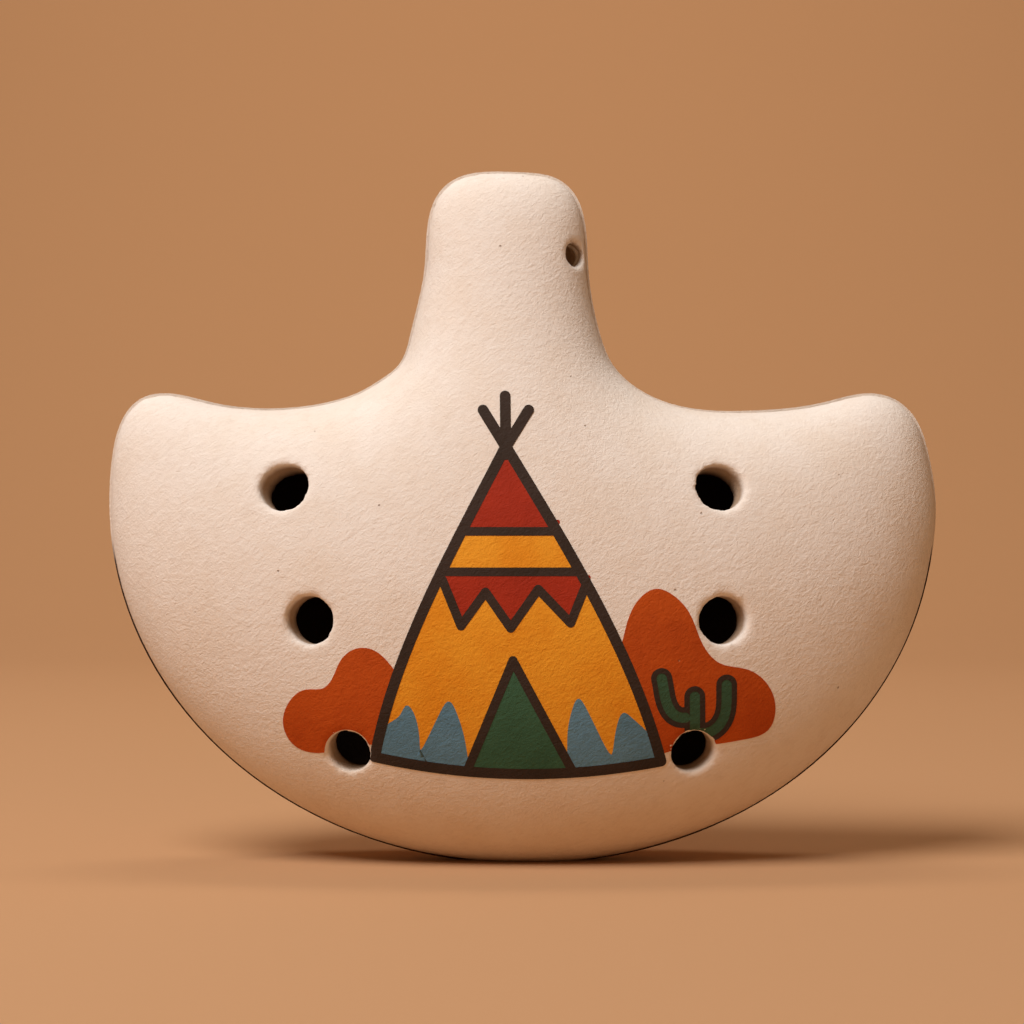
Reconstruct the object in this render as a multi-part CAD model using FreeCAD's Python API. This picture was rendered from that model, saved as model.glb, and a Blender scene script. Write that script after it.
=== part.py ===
import FreeCAD, Part
import math
import os

# Six-hole vessel flute (ocarina) in white-slipped earthenware, standing on its rounded lower edge.
# Frame: millimetres, +Z up, front (finger-hole side) towards -Y, origin on the foot under the belly.
# Two pressed halves with solid half-necks meet at the plane Y = 0, with a thin bed of slip between.

# ---- Overall sizes ---------------------------------------------------------------------------
body_width = 120.0          # wing tip to wing tip
body_height = 65.2          # foot to the dip of the shoulders
neck_length = 34.8          # shoulder dip to the tip of the mouthpiece
body_depth = 37.0           # front to back over the belly
wall = 5.0                  # clay thickness of the chamber

# ---- Outline ---------------------------------------------------------------------------------
widest_drop = 13.2          # widest point, below the shoulder dip
wing_rise = 2.5             # top of the wings, above the shoulder dip
shoulder_dip = 34.0         # sideways distance of the dips from the middle
fullness_right = 2.06       # exponent of the lower edge: 2 is an ellipse, more is squarer
fullness_left = 2.01
wing_round = 9.3            # length of the rounded wing corner
neck_offset = -2.35         # the neck was set a little off centre
neck_width = 23.5           # across the neck at the strap hole
neck_taper = 1.0            # the neck narrows by this much each side up to the lips
neck_flare = 1.6            # and widens by this much each side down to the root
left_shoulder_fill = 0.75   # the left shoulder is fuller by this much
lip_round = 5.2             # height of the rounded end of the mouthpiece
lip_crown = 0.1             # the mouthpiece is highest left of its middle, by this much
foot_flat = 0.45            # depth rubbed off the lowest point, so that it stands

# ---- Joint between the halves ----------------------------------------------------------------
slip_thickness = 0.4
slip_bead = 0.2             # the squeezed-out slip stands this proud of the edge

# ---- Finger and thumb holes ------------------------------------------------------------------
finger_hole = {"top": 6.7, "mid": 6.6, "low": 6.0}      # bore diameters by row
finger_hole_rim = 0.3       # softened edge
top_row_drop = 10.95        # top row, below the shoulder dip
low_row_height = 16.8       # low row, above the foot
mid_row_lift = 0.0          # the middle row is this much above half-way
row_half_span = {"top": 30.9, "mid": 29.1, "low": 24.4}
row_shift = {"top": -3.0, "mid": -0.9, "low": -0.3}
bore_focus_depth = 60.0     # all finger holes point at one place this far behind the joint
bore_focus_height = 30.0
thumb_hole = 7.5
thumb_half_span = 25.0
thumb_drop = 20.0           # below the shoulder dip, between the upper rows

# ---- Voicing ---------------------------------------------------------------------------------
windway_width = 7.0
windway_height = 1.2
windway_shift = -0.5        # sideways from the middle of the neck, away from the strap hole
windway_tip_y = 0.4         # middle of the duct at the lips, behind the joint
windway_exit_y = 7.0        # middle of the duct where it meets the window
window_length = 5.0
window_rise = 0.8           # upper edge of the window, above the shoulder dip
labium_angle = 40.0         # ramp, from the vertical
labium_edge = 0.3           # blunt edge of the labium
pocket_drop = 14.0          # the window opens into the chamber over this height

# ---- Strap hole ------------------------------------------------------------------------------
strap_hole = 3.5
strap_hole_drop = 12.25     # below the tip of the mouthpiece
strap_hole_side = 10.15     # entry, sideways from the middle of the neck
strap_hole_front = 3.9      # entry, in front of the joint
strap_hole_turn = 26.7      # angle of the bore from straight back, towards the middle

# ---- Painted coats ---------------------------------------------------------------------------
coat = 0.12                 # thickness of the coloured slips
paint_gap = 0.1             # the paint stops this far from the edge of a finger hole

RINGS = 14                  # rings that carry each half of a pillow surface

V = FreeCAD.Vector
half_width = body_width / 2
tip_height = body_height + neck_length
neck_half = neck_width / 2


def edge_below(half_span, semi_height, fullness, turns):
    """Points of one side of the lower edge, from beside the foot up to the widest point."""
    points = []
    for turn in turns:
        angle = math.radians(turn)
        across = half_span * math.sin(angle) ** (2 / fullness)
        down = semi_height * math.cos(angle) ** (2 / fullness)
        points.append((across, -down))
    return points


def outline(inset, with_neck):
    """Closed front outline, seen from the front; inset moves it inwards for the chamber."""
    widest = body_height - widest_drop
    side = half_width - inset
    dip = body_height - inset
    peak = body_height + wing_rise - inset
    corner = wing_round
    turns = (14, 28, 41, 53, 64, 74, 83, 90)
    right = edge_below(side, widest + foot_flat - inset, fullness_right, turns)
    left = edge_below(side, widest + foot_flat - inset, fullness_left, turns)
    points = [(0.0, inset - foot_flat)]
    points += [(x, widest + z) for x, z in right]
    points += [(side - 0.11 * corner, peak - 0.94 * corner), (side - 0.31 * corner, peak - 0.39 * corner)]
    points += [(side - 0.65 * corner, peak - 0.08 * corner), (side - corner, peak)]
    points += [(side - 1.7 * corner, peak - 0.5 * wing_rise), (shoulder_dip, dip)]
    if with_neck:
        points += neck_side(1)
        crown = 0.1 * neck_width
        points += [(neck_offset + crown, tip_height - lip_crown), (neck_offset - crown, tip_height)]
        points += reversed(neck_side(-1))
    else:
        points += [(0.5 * shoulder_dip, dip), (0.0, dip), (-0.5 * shoulder_dip, dip)]
    points += [(-shoulder_dip - 2.0, dip + 0.3), (-side + 1.55 * corner, peak - 0.5 * wing_rise)]
    points += [(-side + 0.8 * corner, peak), (-side + 0.45 * corner, peak - 0.1 * corner)]
    points += [(-side + 0.2 * corner, peak - 0.4 * corner), (-side + 0.04 * corner, peak - corner)]
    points += [(-x, widest + z) for x, z in reversed(left)]
    return closed_spline(points)


def neck_side(hand):
    """One flank of the neck, from the shoulder up to the lips; hand is 1 on the right, -1 on the left."""
    root = neck_half + neck_flare
    fill = left_shoulder_fill if hand < 0 else 0.0
    flank = [
        (root + 10.9, body_height + 0.9 + fill),
        (root + 7.9, body_height + 2.0 + fill),
        (root + 5.0, body_height + 3.7 + fill),
        (root + 1.9 + 0.2 * fill, body_height + 6.9),
        (root + 0.5 * fill, body_height + 11.6),
        (neck_half, tip_height - 14.0),
        (neck_half - neck_taper, tip_height - lip_round),
        (neck_half - neck_taper - 1.0, tip_height - 0.6 * lip_round),
        (neck_half - neck_taper - 3.4, tip_height - 0.2 * lip_round),
    ]
    return [(neck_offset + hand * across, height) for across, height in flank]


class Pillow:
    """Half-depth over a closed outline, as a film blown out from it: the square of the depth has an
    even curvature inside and is zero on the outline, so the sections are ellipses where the outline is
    round or straight. The film is a sum of point sources spaced round the outside of the outline."""

    def __init__(self, curve, depth, middle, count=150, stand_off=6.0):
        self.rim = curve.discretize(Number=count + 1)[:-1]
        self.middle = middle
        self.sources = moved_out(self.rim, stand_off)
        rows = [self.pulls(p.x, p.z) + [(p.x * p.x + p.z * p.z) / 4] for p in self.rim]
        self.strengths = solve(rows)
        self.scale = 1.0
        belly = max(self.depth(0.0, body_height * step / 40) for step in range(4, 40))
        self.scale = depth / belly

    def pulls(self, x, z):
        return [0.5 * math.log((x - a) ** 2 + (z - b) ** 2) for a, b in self.sources]

    def depth(self, x, z):
        film = sum(s * p for s, p in zip(self.strengths, self.pulls(x, z))) - (x * x + z * z) / 4
        return self.scale * math.sqrt(max(film, 0.0))

    def half(self, hand, start):
        """Solid half of the pillow: rings from the rim at Y = start up to the belly, skinned over;
        hand is -1 for the front and 1 for the back."""
        a, b = self.middle
        rings = []
        for step in range(RINGS, 0, -1):
            reach = math.sin(math.radians(90 * step / RINGS))
            loop = []
            for p in self.rim:
                x, z = a + (p.x - a) * reach, b + (p.z - b) * reach
                depth = self.depth(x, z) if step < RINGS else 0.0
                loop.append(V(x, start + hand * depth, z))
            ring = Part.BSplineCurve()
            ring.interpolate(Points=loop, PeriodicFlag=True, Parameters=list(range(len(loop) + 1)))
            rings.append(Part.Wire([ring.toShape()]))
        belly = Part.Vertex(V(a, start + hand * self.depth(a, b), b))
        return Part.makeLoft(rings + [belly], True, False, False, 3)


def moved_out(rim, distance):
    """Points of a closed rim, each moved square to the rim by the distance."""
    moved = []
    for before, here, after in zip(rim[-1:] + rim, rim, rim[1:] + rim[:1]):
        along = after - before
        along.normalize()
        moved.append((here.x + distance * along.z, here.z - distance * along.x))
    return moved


def closed_spline(points):
    """Smooth closed line through (sideways, height) points in the plane of the joint."""
    line = Part.BSplineCurve()
    line.interpolate(Points=[V(x, 0, z) for x, z in points], PeriodicFlag=True)
    return line


def solve(rows):
    """Gaussian elimination with row exchange; each row ends with its right-hand side."""
    count = len(rows)
    for column in range(count):
        best = max(range(column, count), key=lambda row: abs(rows[row][column]))
        rows[column], rows[best] = rows[best], rows[column]
        pivot = rows[column]
        for row in range(column + 1, count):
            share = rows[row][column] / pivot[column]
            if share:
                rows[row] = [a - share * b for a, b in zip(rows[row], pivot)]
    answer = [0.0] * count
    for row in range(count - 1, -1, -1):
        known = sum(rows[row][k] * answer[k] for k in range(row + 1, count))
        answer[row] = (rows[row][count] - known) / rows[row][row]
    return answer


def blot(line):
    """Face inside a smooth closed line."""
    return Part.Face(Part.Wire([line.toShape()]))


def export(shape, name):
    """Writes one node and stops the build if it isn't made of sound solids."""
    solids = shape.Solids
    if not solids or not shape.isValid():
        raise RuntimeError(name + " is not a sound solid")
    whole = solids[0] if len(solids) == 1 else Part.Compound(solids)
    whole.exportStep("parts/" + name + ".step")
    print(name, len(solids), round(whole.Volume, 2))
    return whole


# ---- Clay bodies -------------------------------------------------------------------------------
os.makedirs("parts", exist_ok=True)
seam = slip_thickness / 2
outside = Pillow(outline(0, True), body_depth / 2 - seam, (-1.0, 0.62 * body_height))
inside = Pillow(outline(wall, False), body_depth / 2 - wall, (0.0, 0.5 * body_height))
reach = body_depth

ground = Part.makeBox(2 * body_width, 2 * body_depth, 10, V(-body_width, -body_depth, -10))


def finger_holes():
    """Bores on the front: (sideways, height, diameter), left and right in three rows."""
    top = body_height - top_row_drop
    middle = 0.5 * (top + low_row_height) + mid_row_lift
    spots = []
    for row, height in (("top", top), ("mid", middle), ("low", low_row_height)):
        for hand in (-1, 1):
            spots.append((row_shift[row] + hand * row_half_span[row], height, finger_hole[row]))
    return spots


def finger_bore(x, z, size):
    """Round bore from the focus through the wall, opened out to a softened rim at the skin."""
    skin = V(x, -seam - outside.depth(x, z), z)
    focus = V(0, bore_focus_depth, bore_focus_height)
    along = skin - focus
    along.normalize()
    bore = Part.makeCylinder(size / 2, 3 * wall, skin - along * 2 * wall, along)
    sink = finger_hole_rim
    rim = Part.makeCone(size / 2, size / 2 + 2 * sink, 2 * sink, skin - along * sink, along)
    return bore.fuse(rim)


def strap_bore():
    """Bore through the right-hand corner of the neck, from its front flank out of its back flank."""
    turn = math.radians(strap_hole_turn)
    along = V(-math.sin(turn), math.cos(turn), 0)
    entry = V(neck_offset + strap_hole_side, -strap_hole_front, tip_height - strap_hole_drop)
    return Part.makeCylinder(strap_hole / 2, 2 * reach, entry - along * reach, along)


def duct():
    """Straight flat windway from the lips down to the window in the back."""
    top = V(0, windway_tip_y, tip_height + 1)
    end = V(0, windway_exit_y, body_height + window_rise - window_length)
    down = end - top
    length = down.Length
    slope = math.degrees(math.atan2(down.y, -down.z))
    box = Part.makeBox(windway_width, windway_height, length)
    box.translate(V(-windway_width / 2, -windway_height / 2, -length))
    box.rotate(V(0, 0, 0), V(1, 0, 0), slope)
    box.translate(top + V(neck_offset + windway_shift, 0, 0))
    return box


def window():
    """Window, labium ramp and the pocket that opens them into the chamber, cut from the back."""
    left = neck_offset + windway_shift - windway_width / 2
    roof = body_height + window_rise
    edge = roof - window_length
    lower = windway_exit_y + windway_height / 2
    opening = Part.makeBox(windway_width, reach, window_length, V(left, lower - windway_height, edge))
    pocket = Part.makeBox(windway_width, lower - labium_edge, pocket_drop, V(left, 0, roof - pocket_drop))
    run = reach * math.tan(math.radians(90 - labium_angle))
    ramp = Part.makePolygon([V(left, lower, edge), V(left, lower + reach, edge - run),
                             V(left, lower + reach, edge), V(left, lower, edge)])
    wedge = Part.Face(ramp).extrude(V(windway_width, 0, 0))
    return opening.fuse([pocket, wedge])


front = outside.half(-1, -seam)
chamber_front = inside.half(-1, 0.0)
back = outside.half(1, seam)
chamber_back = inside.half(1, 0.0)

finger_bores = [finger_bore(x, z, size) for x, z, size in finger_holes()]
thumb_bores = []
for hand in (-1, 1):
    start = V(hand * thumb_half_span, 0, body_height - thumb_drop)
    thumb_bores.append(Part.makeCylinder(thumb_hole / 2, reach, start, V(0, 1, 0)))

front_shell = front.cut([chamber_front, ground, strap_bore()] + finger_bores)
export(front_shell, "front_shell")

back_shell = back.cut([chamber_back, ground, strap_bore(), duct(), window()] + thumb_bores)
export(back_shell, "back_shell")


def seam_ring():
    """Bed of slip between the halves: the outline a little proud, open over the chamber."""
    edge = closed_spline(moved_out(outside.rim, slip_bead))
    hollow = outline(wall, False)
    plate = blot(edge).cut(blot(hollow))
    plate.translate(V(0, -seam, 0))
    bed = plate.extrude(V(0, slip_thickness, 0))
    return bed.cut([ground, strap_bore(), duct(), window()])


export(seam_ring(), "seam_slip")


# ---- Painted coats -----------------------------------------------------------------------------
# Coloured slips brushed on the front. Every outline below is (sideways, height) as seen from the front.
line_width = 1.5           # outer lines and poles
band_line = 1.2             # the two level lines
zigzag_width = 1.25         # zigzag and door
cactus_line = 0.75
cactus_limb = 1.45

peak = (-2.4, 59.8)                                         # where the tent poles cross
left_side = [peak, (-9.5, 46.0), (-16.1, 31.6), (-20.8, 16.2)]
right_side = [peak, (6.4, 45.0), (13.5, 31.4), (19.4, 15.6)]
hem = [(-20.8, 16.2), (-0.5, 13.9), (19.4, 15.6)]
upper_band = 47.9
lower_band = 42.3
zigzag = [(-11.2, 41.2), (-8.6, 34.8), (-5.2, 39.5), (-1.7, 34.5), (2.1, 39.9), (6.6, 35.2), (8.6, 40.2)]
door_top = (-1.4, 30.0)
door_feet = [(-7.8, 14.4), (6.9, 14.4)]
pole_ends = [(-5.6, 64.9), (-2.5, 66.9), (0.8, 64.9)]
pole_feet = [(-2.0, 59.0), (-2.4, 58.6), (-2.8, 59.0)]
left_peaks = [(-21.5, 14.0), (-18.0, 21.4), (-17.0, 22.3), (-16.2, 23.5), (-15.3, 22.4), (-14.4, 17.2),
              (-11.4, 22.7), (-10.3, 24.1), (-9.4, 22.7), (-7.8, 16.0), (-7.8, 12.5)]
right_peaks = [(5.9, 12.5), (6.3, 18.0), (7.0, 23.2), (7.7, 24.5), (8.6, 23.4), (12.5, 16.6),
               (13.4, 21.4), (14.1, 22.5), (14.9, 22.0), (20.5, 13.0)]
left_rock = [(-16.0, 26.0), (-19.0, 29.8), (-21.2, 31.4), (-23.4, 31.4), (-25.3, 29.9), (-26.6, 27.2),
             (-28.0, 25.8), (-30.4, 25.6), (-33.1, 23.3), (-33.7, 20.5), (-32.0, 17.5), (-28.8, 16.7),
             (-22.0, 18.0), (-17.5, 19.0)]
right_rock = [(12.0, 28.0), (14.3, 34.2), (16.2, 38.4), (18.5, 39.8), (21.0, 38.8), (23.0, 36.6),
              (25.0, 32.0), (27.6, 29.3), (31.5, 28.4), (34.5, 26.0), (35.5, 22.6), (34.6, 19.9),
              (31.0, 18.6), (27.0, 18.0), (21.0, 17.2), (17.5, 16.5)]
left_limb = [(19.3, 27.4), (19.65, 25.6), (20.05, 23.95), (21.0, 22.4), (22.7, 21.85)]
trunk = [(24.0, 24.8), (24.2, 16.0)]
right_limb = [(28.5, 26.4), (28.5, 23.5), (28.1, 21.6), (26.9, 20.1), (25.0, 19.6)]
drips = [(4.8, 49.2, 0.42), (9.0, 41.5, 0.55)]              # overspill outside the right-hand side


def flat(x, z):
    return V(x, 0, z)


def through(points):
    """Smooth open line through the points."""
    line = Part.BSplineCurve()
    line.interpolate([flat(x, z) for x, z in points])
    return line


def area(points):
    """Face inside straight runs."""
    return Part.Face(Part.makePolygon([flat(x, z) for x, z in points + points[:1]]))


def dot(x, z, size):
    circle = Part.Circle(flat(x, z), V(0, -1, 0), size / 2)
    return Part.Face(Part.Wire([circle.toShape()]))


def bar(start, end, width):
    """One straight brush stroke with round ends."""
    along = (flat(*end) - flat(*start)).normalize()
    side = V(-along.z, 0, along.x) * (width / 2)
    tip = along * (width / 2)
    a, b = flat(*start), flat(*end)
    edges = [Part.LineSegment(a + side, b + side), Part.Arc(b + side, b + tip, b - side),
             Part.LineSegment(b - side, a - side), Part.Arc(a - side, a - tip, a + side)]
    return Part.Face(Part.Wire([edge.toShape() for edge in edges]))


def stroke(points, width):
    """Brush stroke in straight runs with round ends and turns."""
    path = Part.makePolygon([flat(x, z) for x, z in points])
    return path.makeOffset2D(width / 2, fill=True)


def curved_stroke(points, width):
    """Brush stroke along a smooth line, with round ends."""
    path = Part.Wire([through(points).toShape()])
    return path.makeOffset2D(width / 2, fill=True)


def joined(pieces):
    return pieces[0].fuse(pieces[1:]).removeSplitter()


def tent():
    left = through(left_side).toShape()
    bottom = through(hem).toShape()
    right = through(right_side).toShape()
    return Part.Face(Part.Wire([left, bottom, right]))


def above(height):
    """Everything painted higher than this."""
    side, top = body_width, tip_height
    return area([(-side, height), (side, height), (side, top), (-side, top)])


def skin_patch():
    """Curved slab as thick as a coat, lying on the front over the whole painted area."""
    low_x, high_x, low_z, high_z, step = -36.0, 38.0, 11.0, 71.0, 2.0
    rows = []
    for i in range(int((high_x - low_x) / step) + 1):
        x = low_x + i * step
        heights = [low_z + k * step for k in range(int((high_z - low_z) / step) + 1)]
        rows.append([V(x, -seam - outside.depth(x, z), z) for z in heights])
    surface = Part.BSplineSurface()
    surface.interpolate(rows)
    return surface.toShape().extrude(V(0, -coat, 0))


tent_face = tent()
outer_line = tent_face.makeOffset2D(line_width / 2).cut(tent_face.makeOffset2D(-line_width / 2))
outlines = [
    outer_line,
    stroke(zigzag, zigzag_width),
    stroke([door_feet[0], door_top, door_feet[1]], zigzag_width),
    bar((-7.9, upper_band), (4.3, upper_band), band_line),
    bar((-10.9, lower_band), (7.8, lower_band), band_line),
]
outlines += [bar(end, foot, line_width) for end, foot in zip(pole_ends, pole_feet)]
kept_clear = [dot(x, z, size + 2 * (finger_hole_rim + paint_gap)) for x, z, size in finger_holes()]
black = joined(outlines).cut(kept_clear)

door_green = area([door_top] + door_feet).common(tent_face).cut(black)
blue = joined([blot(closed_spline(left_peaks)), blot(closed_spline(right_peaks))]).common(tent_face)
blue = blue.cut([area([door_top] + door_feet), black])
teeth = area(zigzag + [(7.8, lower_band), (-10.9, lower_band)])
red = above(upper_band).common(tent_face).fuse(teeth.common(tent_face))
red = red.fuse([dot(x, z, size) for x, z, size in drips]).cut(black)
yellow = tent_face.cut([above(upper_band), teeth, area([door_top] + door_feet), blue, black])


def cactus(width):
    """Three limbs of the cactus, painted this wide."""
    limbs = [curved_stroke(left_limb, width), curved_stroke(right_limb, width)]
    return joined(limbs + [bar(trunk[0], trunk[1], width)])


cactus_green = cactus(cactus_limb)
cactus_black = cactus(cactus_limb + 2 * cactus_line)
rocks = blot(closed_spline(left_rock)).fuse(blot(closed_spline(right_rock)))
rocks = rocks.cut([tent_face, black, cactus_black] + kept_clear)
cactus_black = cactus_black.cut([cactus_green, black] + kept_clear)
cactus_green = cactus_green.cut([black] + kept_clear)

painted_skin = skin_patch()
coats = {
    "tent_outline": black,
    "tent_red": red,
    "tent_yellow": yellow,
    "tent_door_green": door_green,
    "tent_blue_peaks": blue,
    "orange_rocks": rocks,
    "cactus_outline": cactus_black,
    "cactus_green": cactus_green,
}
for name, shape in coats.items():
    columns = [face.extrude(V(0, -reach, 0)) for face in shape.toNurbs().Faces]
    column = columns[0].fuse(columns[1:]).removeSplitter() if len(columns) > 1 else columns[0]
    export(painted_skin.common(column), name)
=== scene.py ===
import math

import bmesh
import bpy
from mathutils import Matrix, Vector, noise
from mathutils.bvhtree import BVHTree
from mathutils.kdtree import KDTree


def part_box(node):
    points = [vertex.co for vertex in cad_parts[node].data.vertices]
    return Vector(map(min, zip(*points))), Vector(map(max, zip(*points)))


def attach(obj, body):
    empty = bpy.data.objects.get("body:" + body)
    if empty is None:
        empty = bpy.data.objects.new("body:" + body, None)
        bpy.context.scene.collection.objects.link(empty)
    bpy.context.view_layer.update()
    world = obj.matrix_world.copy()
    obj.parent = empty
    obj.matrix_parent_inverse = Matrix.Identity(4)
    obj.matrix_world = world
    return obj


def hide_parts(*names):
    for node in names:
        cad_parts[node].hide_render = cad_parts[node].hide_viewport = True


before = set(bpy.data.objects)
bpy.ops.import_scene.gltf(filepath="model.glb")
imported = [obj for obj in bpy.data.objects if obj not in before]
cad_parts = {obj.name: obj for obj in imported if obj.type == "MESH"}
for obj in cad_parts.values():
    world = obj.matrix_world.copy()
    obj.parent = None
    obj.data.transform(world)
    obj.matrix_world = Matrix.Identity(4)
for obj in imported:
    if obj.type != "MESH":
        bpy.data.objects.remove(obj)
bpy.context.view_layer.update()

# ---- Front and back halves of the clay body ---------------------------------------------------------
# Two halves of red-brown earthenware pressed by hand over one mould, luted together and brushed with a
# white slip. The skin keeps the faint waves of the fingers, and every bored edge is rubbed soft.
CLAY_GRAIN = 0.00052        # size of the finest lump that the halves are built from
PRESS_WAVE = 0.00012        # the deepest finger mark in the skin
PRESS_LENGTH = 0.016        # from one finger mark to the next
BORE_FOCUS = 0.08           # the bores of a half point at a place this far behind the joint
BORE_FOCUS_HEIGHT = 0.031
SKIN_FACING = 0.42          # skin that faces away from that place by more than this is outside
RUBS = 3                    # times the damp clay was rubbed over, which softens every edge
SAME_POINT = 1e-7           # corners closer than this are one corner


def merged_copy(node, name):
    """A new piece in the shape of a CAD node, with its loose triangles joined up."""
    shape = bmesh.new()
    shape.from_mesh(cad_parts[node].data)
    bmesh.ops.remove_doubles(shape, verts=shape.verts, dist=SAME_POINT)
    mesh = bpy.data.meshes.new(name)
    shape.to_mesh(mesh)
    shape.free()
    piece = bpy.data.objects.new(name, mesh)
    bpy.context.scene.collection.objects.link(piece)
    return piece


def apply_modifiers(piece):
    """Settles the piece's modifiers into its mesh."""
    evaluated = piece.evaluated_get(bpy.context.evaluated_depsgraph_get())
    settled = bpy.data.meshes.new_from_object(evaluated)
    piece.modifiers.clear()
    old = piece.data
    piece.data = settled
    bpy.data.meshes.remove(old)
    settled.name = piece.name


def press_marks(point):
    """How far the hand pressed the skin in at a point, in metres: slow waves, never outwards."""
    return PRESS_WAVE * 0.5 * (noise.noise(point / PRESS_LENGTH) - 1)


def mark_depth(piece, facing):
    """Stores how far, in mm, each point lies inside a bore or the chamber: 0 on the outer skin."""
    focus = Vector((0, -facing * BORE_FOCUS, BORE_FOCUS_HEIGHT))
    mesh = piece.data
    inner = []
    outer = []
    for vert in mesh.vertices:
        outward = vert.normal.dot((vert.co - focus).normalized())
        (outer if outward > SKIN_FACING else inner).append(vert)
    nearest = KDTree(len(outer))
    for place, vert in enumerate(outer):
        nearest.insert(vert.co, place)
    nearest.balance()
    depth = mesh.attributes.new("bore_depth", "FLOAT", "POINT")
    for vert in inner:
        depth.data[vert.index].value = 1000 * nearest.find(vert.co)[2]


def clay_half(node, name, facing):
    """One half, as lumpy and soft as hand-pressed clay; facing is -1 for the front, 1 for the back."""
    piece = merged_copy(node, name)
    grain = piece.modifiers.new("clay", "REMESH")
    grain.mode = "VOXEL"
    grain.voxel_size = CLAY_GRAIN
    apply_modifiers(piece)
    skin = bmesh.new()
    skin.from_mesh(piece.data)
    for _ in range(RUBS):
        bmesh.ops.smooth_vert(
            skin, verts=skin.verts, factor=0.5, use_axis_x=True, use_axis_y=True, use_axis_z=True
        )
    skin.normal_update()
    for vert in skin.verts:
        vert.co += vert.normal * press_marks(vert.co)
        vert.co.z = max(vert.co.z, 0)
    for face in skin.faces:
        face.smooth = True
    skin.to_mesh(piece.data)
    skin.free()
    mark_depth(piece, facing)
    return piece


def mix(tree, blend, factor, first, second):
    """Colour mix; each of the last three is a number, a colour or a socket."""
    node = tree.nodes.new("ShaderNodeMix")
    node.data_type = "RGBA"
    node.blend_type = blend
    for place, value in ((0, factor), (6, first), (7, second)):
        if isinstance(value, bpy.types.NodeSocket):
            tree.links.new(value, node.inputs[place])
        elif place == 0:
            node.inputs[place].default_value = value
        else:
            node.inputs[place].default_value = (*value, 1)
    return node.outputs[2]


def math_node(tree, operation, first, second=0.0, clamp=False):
    node = tree.nodes.new("ShaderNodeMath")
    node.operation = operation
    node.use_clamp = clamp
    for place, value in ((0, first), (1, second)):
        if isinstance(value, bpy.types.NodeSocket):
            tree.links.new(value, node.inputs[place])
        else:
            node.inputs[place].default_value = value
    return node.outputs[0]


def ramp(tree, value, low, high):
    """0 below low, 1 above high, smooth between."""
    node = tree.nodes.new("ShaderNodeMapRange")
    node.interpolation_type = "SMOOTHSTEP"
    tree.links.new(value, node.inputs["Value"])
    node.inputs["From Min"].default_value = low
    node.inputs["From Max"].default_value = high
    return node.outputs["Result"]


def millimetres(tree, turn=0.0, stretch=(1, 1, 1)):
    """Object coordinates in millimetres, turned about the front's square-on axis, then stretched."""
    place = tree.nodes.new("ShaderNodeTexCoord")
    turned = tree.nodes.new("ShaderNodeMapping")
    turned.inputs["Rotation"].default_value = (0, turn, 0)
    turned.inputs["Scale"].default_value = (1000, 1000, 1000)
    tree.links.new(place.outputs["Object"], turned.inputs["Vector"])
    pulled = tree.nodes.new("ShaderNodeMapping")
    pulled.inputs["Scale"].default_value = stretch
    tree.links.new(turned.outputs["Vector"], pulled.inputs["Vector"])
    return pulled.outputs["Vector"]


def speckle(tree, vector, scale, detail=2.0, roughness=0.5, distortion=0.0):
    node = tree.nodes.new("ShaderNodeTexNoise")
    tree.links.new(vector, node.inputs["Vector"])
    node.inputs["Scale"].default_value = scale
    node.inputs["Detail"].default_value = detail
    node.inputs["Roughness"].default_value = roughness
    node.inputs["Distortion"].default_value = distortion
    return node.outputs["Fac"]


BRUSH_SLANT = math.radians(38)      # the white slip was brushed on at this slant
CREASE_SLANT = math.radians(-12)


def brushed_relief(tree):
    """Height in millimetres of the dried slip: short slanting brush wrinkles, fine grain and stray pits."""
    slanted = millimetres(tree, BRUSH_SLANT, (0.55, 1.0, 1.0))
    wrinkles = speckle(tree, slanted, 1.9, 3.0, 0.58, 0.6)
    level = millimetres(tree, CREASE_SLANT, (0.55, 1.0, 1.0))
    creases = speckle(tree, level, 0.80, 2.0, 0.5, 1.0)
    ridges = ramp(tree, creases, 0.52, 0.66)
    grain = speckle(tree, millimetres(tree), 3.4, 2.0, 0.6)
    height = math_node(tree, "MULTIPLY", wrinkles, 0.115)
    height = math_node(tree, "ADD", height, math_node(tree, "MULTIPLY", ridges, 0.016))
    height = math_node(tree, "ADD", height, math_node(tree, "MULTIPLY", grain, 0.060))
    cells = tree.nodes.new("ShaderNodeTexVoronoi")
    cells.inputs["Scale"].default_value = 0.16
    tree.links.new(millimetres(tree), cells.inputs["Vector"])
    pit = ramp(tree, cells.outputs["Distance"], 0.032, 0.014)
    height = math_node(tree, "SUBTRACT", height, math_node(tree, "MULTIPLY", pit, 0.10))
    return height, pit


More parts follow.
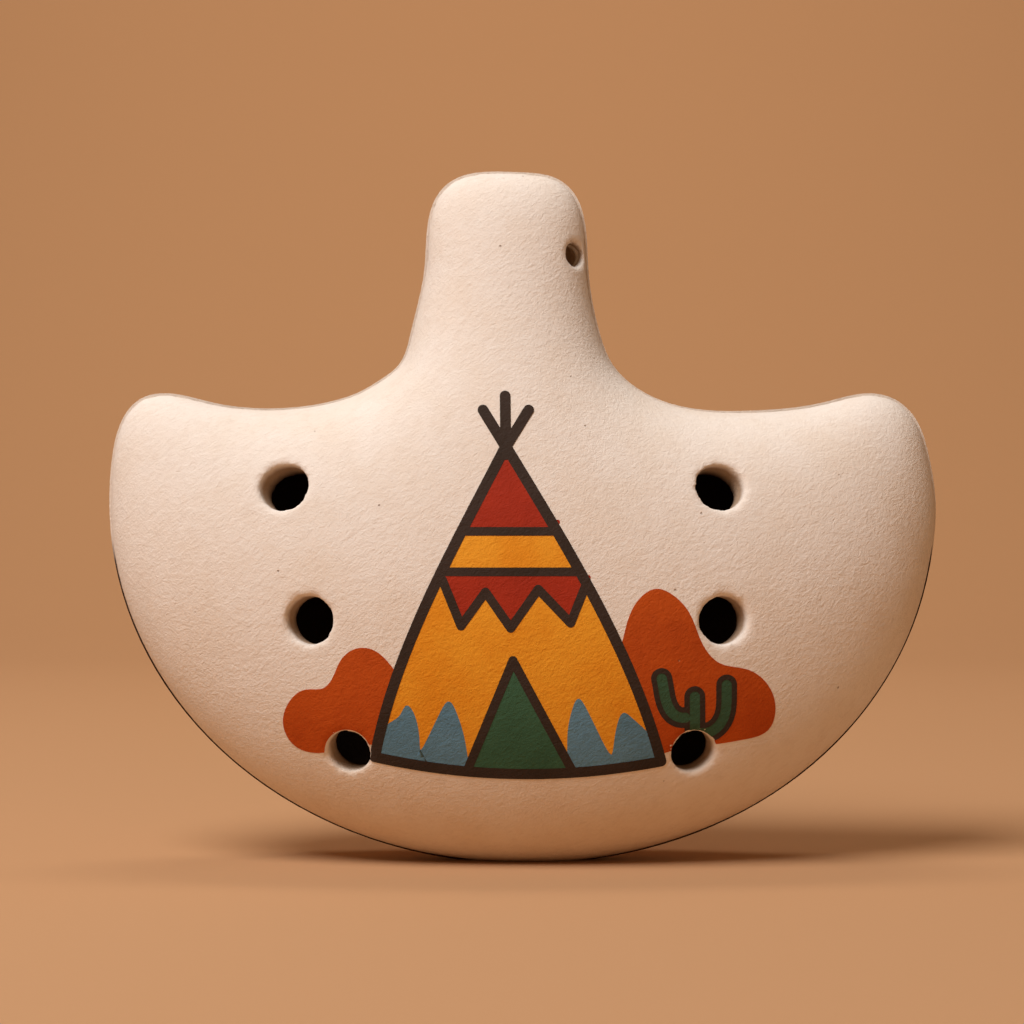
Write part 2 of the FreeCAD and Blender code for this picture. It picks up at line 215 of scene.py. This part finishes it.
def slip_material(name, colour, deep, roughness=0.82, pit_colour=(0.22, 0.13, 0.08)):
    """Matte fired slip: colour where it lies thick, deep where it is thin or dirty."""
    material = bpy.data.materials.new(name)
    material.use_nodes = True
    tree = material.node_tree
    shader = tree.nodes["Principled BSDF"]
    shader.inputs["Roughness"].default_value = roughness
    shader.inputs["Specular IOR Level"].default_value = 0.2
    height, pit = brushed_relief(tree)
    clouds = speckle(tree, millimetres(tree), 0.10, 3.0, 0.6)
    tone = mix(tree, "MIX", ramp(tree, clouds, 0.35, 0.72), colour, deep)
    along_brush = millimetres(tree, BRUSH_SLANT, (0.3, 1.0, 1.0))
    streaks = speckle(tree, along_brush, 1.6, 2.0, 0.5)
    worn = math_node(tree, "MULTIPLY", ramp(tree, streaks, 0.48, 0.70), 0.14)
    tone = mix(tree, "MULTIPLY", worn, tone, (0.72, 0.62, 0.55))
    tone = mix(tree, "MIX", math_node(tree, "MULTIPLY", pit, 0.65), tone, pit_colour)
    tree.links.new(tone, shader.inputs["Base Color"])
    bump = tree.nodes.new("ShaderNodeBump")
    bump.inputs["Strength"].default_value = 1.0
    bump.inputs["Distance"].default_value = 0.001
    tree.links.new(height, bump.inputs["Height"])
    tree.links.new(bump.outputs["Normal"], shader.inputs["Normal"])
    return material, tone


def white_clay_material():
    """White slip outside, drawn darker and warmer towards the bottom as painted shade; down the bores it
    turns grey-brown, partly thinner slip and partly painted shade, and the chamber is painted near-black:
    bare clay darkened as painted shade.
    """
    material, tone = slip_material("white_slip", (0.83, 0.76, 0.69), (0.80, 0.71, 0.62))
    tree = material.node_tree
    depth = tree.nodes.new("ShaderNodeAttribute")
    depth.attribute_name = "bore_depth"
    # Partly real, partly painted shade: down a bore the slip is drawn grey-brown, partly thinner slip and
    # partly shade, and deeper in the chamber it is drawn near-black as shade over the bare clay.
    thin_slip_and_bore_shade = ramp(tree, depth.outputs["Fac"], 0.20, 1.5)
    bare_clay_and_chamber_shade = ramp(tree, depth.outputs["Fac"], 2.0, 4.6)
    apart = tree.nodes.new("ShaderNodeSeparateXYZ")
    tree.links.new(millimetres(tree), apart.inputs["Vector"])
    # Painted shade: from 24 mm down to 2 mm the slip is drawn ever darker and warmer, most at the very
    # bottom.
    painted_bottom_shade = math_node(tree, "MULTIPLY", ramp(tree, apart.outputs["Z"], 24.0, 2.0), 0.75)
    tone = mix(tree, "MULTIPLY", painted_bottom_shade, tone, (0.95, 0.80, 0.62))
    tone = mix(tree, "MIX", thin_slip_and_bore_shade, tone, (0.44, 0.31, 0.21))
    tone = mix(tree, "MIX", bare_clay_and_chamber_shade, tone, (0.030, 0.014, 0.008))
    tree.links.new(tone, tree.nodes["Principled BSDF"].inputs["Base Color"])
    return material


white_slip = white_clay_material()

front = clay_half("front_shell", "front_half", -1)
back = clay_half("back_shell", "back_half", 1)
for half, node in ((front, "front_shell"), (back, "back_shell")):
    half.data.materials.append(white_slip)
    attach(half, "root")
    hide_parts(node)

# ---- Slip bed in the joint --------------------------------------------------------------------------
# Watery brown clay that glues the halves. It was squeezed out a little and wiped. Its colour is painted
# shade: below the wings it is drawn as a fine near-black line where the lower edge falls in shade, and
# higher up it is drawn in the white of the slip.
def joint_material():
    material, tone = slip_material("joint_slip_painted_shade", (0.045, 0.020, 0.012), (0.032, 0.014, 0.008))
    tree = material.node_tree
    apart = tree.nodes.new("ShaderNodeSeparateXYZ")
    tree.links.new(millimetres(tree), apart.inputs["Vector"])
    wander = math_node(tree, "MULTIPLY", speckle(tree, millimetres(tree), 0.2, 2.0, 0.5), 8.0)
    height = math_node(tree, "ADD", apart.outputs["Z"], wander)
    # Painted shade: below about 46 to 52 mm, along a wandering edge, the joint is drawn near-black as
    # shade; above that it is drawn the white of the lit slip.
    joint_lit_part = ramp(tree, height, 46.0, 52.0)
    tone = mix(tree, "MIX", joint_lit_part, tone, (0.78, 0.69, 0.60))
    tree.links.new(tone, tree.nodes["Principled BSDF"].inputs["Base Color"])
    return material


bed = merged_copy("seam_slip", "joint_bed")
for face in bed.data.polygons:
    face.use_smooth = False
bed.data.materials.append(joint_material())
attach(bed, "root")
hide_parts("seam_slip")

# ---- Painted coats ----------------------------------------------------------------------------------
# Coloured slips brushed on the front half before firing. Each coat is a film that follows the skin and
# thins out at its edge; the dark lines were drawn last, over the joints between the colours.
FILL_RISE = 0.00004         # a colour stands this proud of the skin
LINE_RISE = 0.00008         # and a dark line this much
FILL_SPREAD = 0.00012       # the colours run this far in under the lines
COAT_ROOT = 0.00025         # the films are keyed this deep into the skin
COAT_CELL = 0.0006          # the films bend to the skin at points this far apart
FILM_ROOM = 0.00002         # the skin is pressed at least this far below a film
FILM_REACH = 0.0003         # and only where it stands through a film by less than this
PAINTED_FRONT = -0.004      # no paint lies further back than this
OVER_A_RIM = 0.0008         # a spot that would fall deeper than this has run over the rim of a hole
LAID_ON = 0.000005          # each later colour lies this much over the one before

skin_tree = BVHTree.FromObject(front, bpy.context.evaluated_depsgraph_get())


def cut_grid(sheet, axis, low, high):
    """Cuts a flat sheet by evenly spaced planes square to the axis."""
    place = math.ceil(low / COAT_CELL) * COAT_CELL
    while place < high:
        point = Vector((0, 0, 0))
        point[axis] = place
        square = Vector((0, 0, 0))
        square[axis] = 1
        everything = sheet.verts[:] + sheet.edges[:] + sheet.faces[:]
        bmesh.ops.bisect_plane(
            sheet, geom=everything, dist=SAME_POINT, plane_co=point, plane_no=square
        )
        place += COAT_CELL


def spread(sheet, distance):
    """Moves the rim of a flat sheet outwards, square to itself; a sharp notch stays where it is."""
    outward = {}
    for edge in sheet.edges:
        if edge.is_boundary:
            along = (edge.verts[1].co - edge.verts[0].co).normalized()
            across = Vector((along.z, 0, -along.x))
            if across.dot(edge.link_faces[0].calc_center_median() - edge.verts[0].co) > 0:
                across.negate()
            for vert in edge.verts:
                outward[vert] = outward.get(vert, Vector()) + across
    for vert, push in outward.items():
        if push.length > 1:
            vert.co += push.normalized() * distance


def skin_place(x, z, film):
    """Where a spot of paint lies on the skin; over the rubbed edge of a hole it takes the nearest skin."""
    guess = film.find_nearest(Vector((x, -0.0186, z)))[0]
    for _ in range(8):
        guess = film.find_nearest(Vector((x, guess.y, z)))[0]
    place = skin_tree.ray_cast(Vector((x, -0.05, z)), Vector((0, 1, 0)))[0]
    if place is None or place.y > guess.y + OVER_A_RIM:
        place = skin_tree.find_nearest(guess)[0]
    return place, skin_tree.find_nearest(place)[1]


def press_skin_under(film):
    """Presses any grain of the front skin that would stand through a coat of paint back under it."""
    for vert in front.data.vertices:
        if vert.co.y > PAINTED_FRONT:
            continue
        place, normal, _, _ = film.find_nearest(vert.co, FILM_REACH)
        if place is None:
            continue
        proud = (vert.co - place).dot(normal) + FILM_ROOM
        if 0 < proud < FILM_REACH:
            vert.co -= normal * proud


def painted_coat(node, name, material, rise):
    """One coat: its flat shape cut fine, laid on the skin, with its edge turned down into it."""
    low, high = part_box(node)
    sheet = bmesh.new()
    sheet.from_mesh(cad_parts[node].data)
    bmesh.ops.remove_doubles(sheet, verts=sheet.verts, dist=SAME_POINT)
    sheet.normal_update()
    rear = [face for face in sheet.faces if face.normal.y > -0.3]
    bmesh.ops.delete(sheet, geom=rear, context="FACES")
    film = BVHTree.FromBMesh(sheet)
    for vert in sheet.verts:
        vert.co.y = 0
    inner = [edge for edge in sheet.edges if not edge.is_boundary]
    bmesh.ops.delete(sheet, geom=inner + sheet.faces[:], context="EDGES_FACES")
    bmesh.ops.triangle_fill(sheet, use_beauty=True, use_dissolve=False, edges=sheet.edges[:])
    if rise < LINE_RISE:
        spread(sheet, FILL_SPREAD)
    cut_grid(sheet, 0, low.x, high.x)
    cut_grid(sheet, 2, low.z, high.z)
    for vert in sheet.verts:
        vert.co, normal = skin_place(vert.co.x, vert.co.z, film)
        vert.co += normal * rise
    sheet.normal_update()
    if sum(face.normal.y for face in sheet.faces) > 0:
        bmesh.ops.reverse_faces(sheet, faces=sheet.faces[:])
    sheet.normal_update()
    films.append(BVHTree.FromBMesh(sheet))
    for edge in sheet.edges:
        edge.smooth = not edge.is_boundary
    for face in sheet.faces:
        face.smooth = True
    rim = [edge for edge in sheet.edges if edge.is_boundary]
    grown = bmesh.ops.extrude_edge_only(sheet, edges=rim)
    for vert in grown["geom"]:
        if isinstance(vert, bmesh.types.BMVert):
            vert.co.y += COAT_ROOT
    mesh = bpy.data.meshes.new(name)
    sheet.to_mesh(mesh)
    sheet.free()
    coat = bpy.data.objects.new(name, mesh)
    bpy.context.scene.collection.objects.link(coat)
    mesh.materials.append(material)
    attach(coat, "root")
    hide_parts(node)


films = []
SPECK = (0.50, 0.30, 0.16)          # white slip showing through a worn spot

line_slip = slip_material("line_slip", (0.042, 0.026, 0.019), (0.032, 0.020, 0.013), 0.75, SPECK)[0]
red_slip = slip_material("red_slip", (0.37, 0.028, 0.008), (0.31, 0.022, 0.006), 0.75, SPECK)[0]
yellow_slip = slip_material("yellow_slip", (0.82, 0.34, 0.020), (0.76, 0.27, 0.010), 0.75, SPECK)[0]
green_slip = slip_material("green_slip", (0.042, 0.115, 0.062), (0.034, 0.095, 0.050), 0.75, SPECK)[0]
cactus_slip = slip_material("cactus_slip", (0.040, 0.098, 0.052), (0.034, 0.082, 0.043), 0.75, SPECK)[0]
blue_slip = slip_material("blue_slip", (0.12, 0.25, 0.36), (0.10, 0.21, 0.30), 0.75, SPECK)[0]
orange_slip = slip_material("orange_slip", (0.50, 0.078, 0.005), (0.42, 0.058, 0.003), 0.75, SPECK)[0]

painted_coat("tent_yellow", "tent_wall_yellow", yellow_slip, FILL_RISE)
painted_coat("tent_red", "tent_bands_red", red_slip, FILL_RISE + LAID_ON)
painted_coat("tent_door_green", "tent_door", green_slip, FILL_RISE + 2 * LAID_ON)
painted_coat("tent_blue_peaks", "tent_peaks_blue", blue_slip, FILL_RISE + 2 * LAID_ON)
painted_coat("orange_rocks", "rocks_orange", orange_slip, FILL_RISE)
painted_coat("tent_outline", "tent_lines", line_slip, LINE_RISE)
painted_coat("cactus_outline", "cactus_lines", line_slip, LINE_RISE)
painted_coat("cactus_green", "cactus_body", cactus_slip, FILL_RISE + 2 * LAID_ON)

for film in films:
    press_skin_under(film)

# ---- Table, light and camera ------------------------------------------------------------------------
# A pale sand-coloured sheet of paper that runs back flat and then curves up. One big soft window on the
# upper left lights it, and the paper throws warm light back up.
SHEET_HALF = 1.6
SHEET_BEND = 0.5            # the sheet starts to rise this far behind
BEND_RADIUS = 0.6
BEND_STEPS = 12
SHEET_TOP = 2.4
profile = [(-SHEET_HALF, 0.0), (SHEET_BEND, 0.0)]
for step in range(1, BEND_STEPS + 1):
    turn = math.radians(90 * step / BEND_STEPS)
    across = BEND_RADIUS * math.sin(turn)
    rise = BEND_RADIUS - BEND_RADIUS * math.cos(turn)
    profile.append((SHEET_BEND + across, rise))
profile.append((SHEET_BEND + BEND_RADIUS, SHEET_TOP))
paper = bmesh.new()
row = [paper.verts.new((-SHEET_HALF, y, z)) for y, z in profile]
run = [paper.edges.new(pair) for pair in zip(row, row[1:])]
grown = bmesh.ops.extrude_edge_only(paper, edges=run)
for vert in grown["geom"]:
    if isinstance(vert, bmesh.types.BMVert):
        vert.co.x = SHEET_HALF
bmesh.ops.recalc_face_normals(paper, faces=paper.faces)
if paper.faces[:][0].normal.z < 0:
    bmesh.ops.reverse_faces(paper, faces=paper.faces[:])
for face in paper.faces:
    face.smooth = True
paper_mesh = bpy.data.meshes.new("paper_sheet")
paper.to_mesh(paper_mesh)
paper.free()
table = bpy.data.objects.new("paper_sheet", paper_mesh)
bpy.context.scene.collection.objects.link(table)
table_paint = bpy.data.materials.new("sand_paper")
table_paint.use_nodes = True
paper_face = table_paint.node_tree.nodes["Principled BSDF"]
paper_face.inputs["Base Color"].default_value = (0.51, 0.28, 0.135, 1)
paper_face.inputs["Roughness"].default_value = 0.9
table.data.materials.append(table_paint)

world = bpy.data.worlds.new("room")
bpy.context.scene.world = world
world.use_nodes = True
room_light = world.node_tree.nodes["Background"]
room_light.inputs["Color"].default_value = (1.0, 0.70, 0.45, 1)
room_light.inputs["Strength"].default_value = 0.16
bpy.context.scene.view_settings.view_transform = "Standard"


def soft_lamp(name, place, aim, size, watts, colour):
    lamp = bpy.data.lights.new(name, "AREA")
    lamp.shape = "DISK"
    lamp.size = size
    lamp.energy = watts
    lamp.color = colour
    holder = bpy.data.objects.new(name, lamp)
    bpy.context.scene.collection.objects.link(holder)
    holder.location = place
    holder.rotation_euler = (Vector(aim) - Vector(place)).to_track_quat("-Z", "Y").to_euler()


soft_lamp("window", (-0.32, -0.40, 0.74), (0, 0, 0.06), 0.5, 7.4, (1.0, 0.965, 0.955))
soft_lamp("sheet_light", (0.0, 0.25, 0.9), (0.0, 1.1, 0.35), 0.5, 5.0, (1.0, 0.88, 0.76))
soft_lamp("bounce", (0.10, -0.55, 0.03), (0, 0, 0.02), 0.5, 0.35, (1.0, 0.55, 0.25))

CAMERA_PLACE = (-0.00153, -0.3732, 0.0506)
lens = bpy.data.cameras.new("camera")
lens.lens = 90
lens.sensor_width = 36
lens.clip_start = 0.01
camera = bpy.data.objects.new("camera", lens)
bpy.context.scene.collection.objects.link(camera)
camera.location = CAMERA_PLACE
camera.rotation_euler = (math.radians(90), 0, 0)
bpy.context.scene.camera = camera
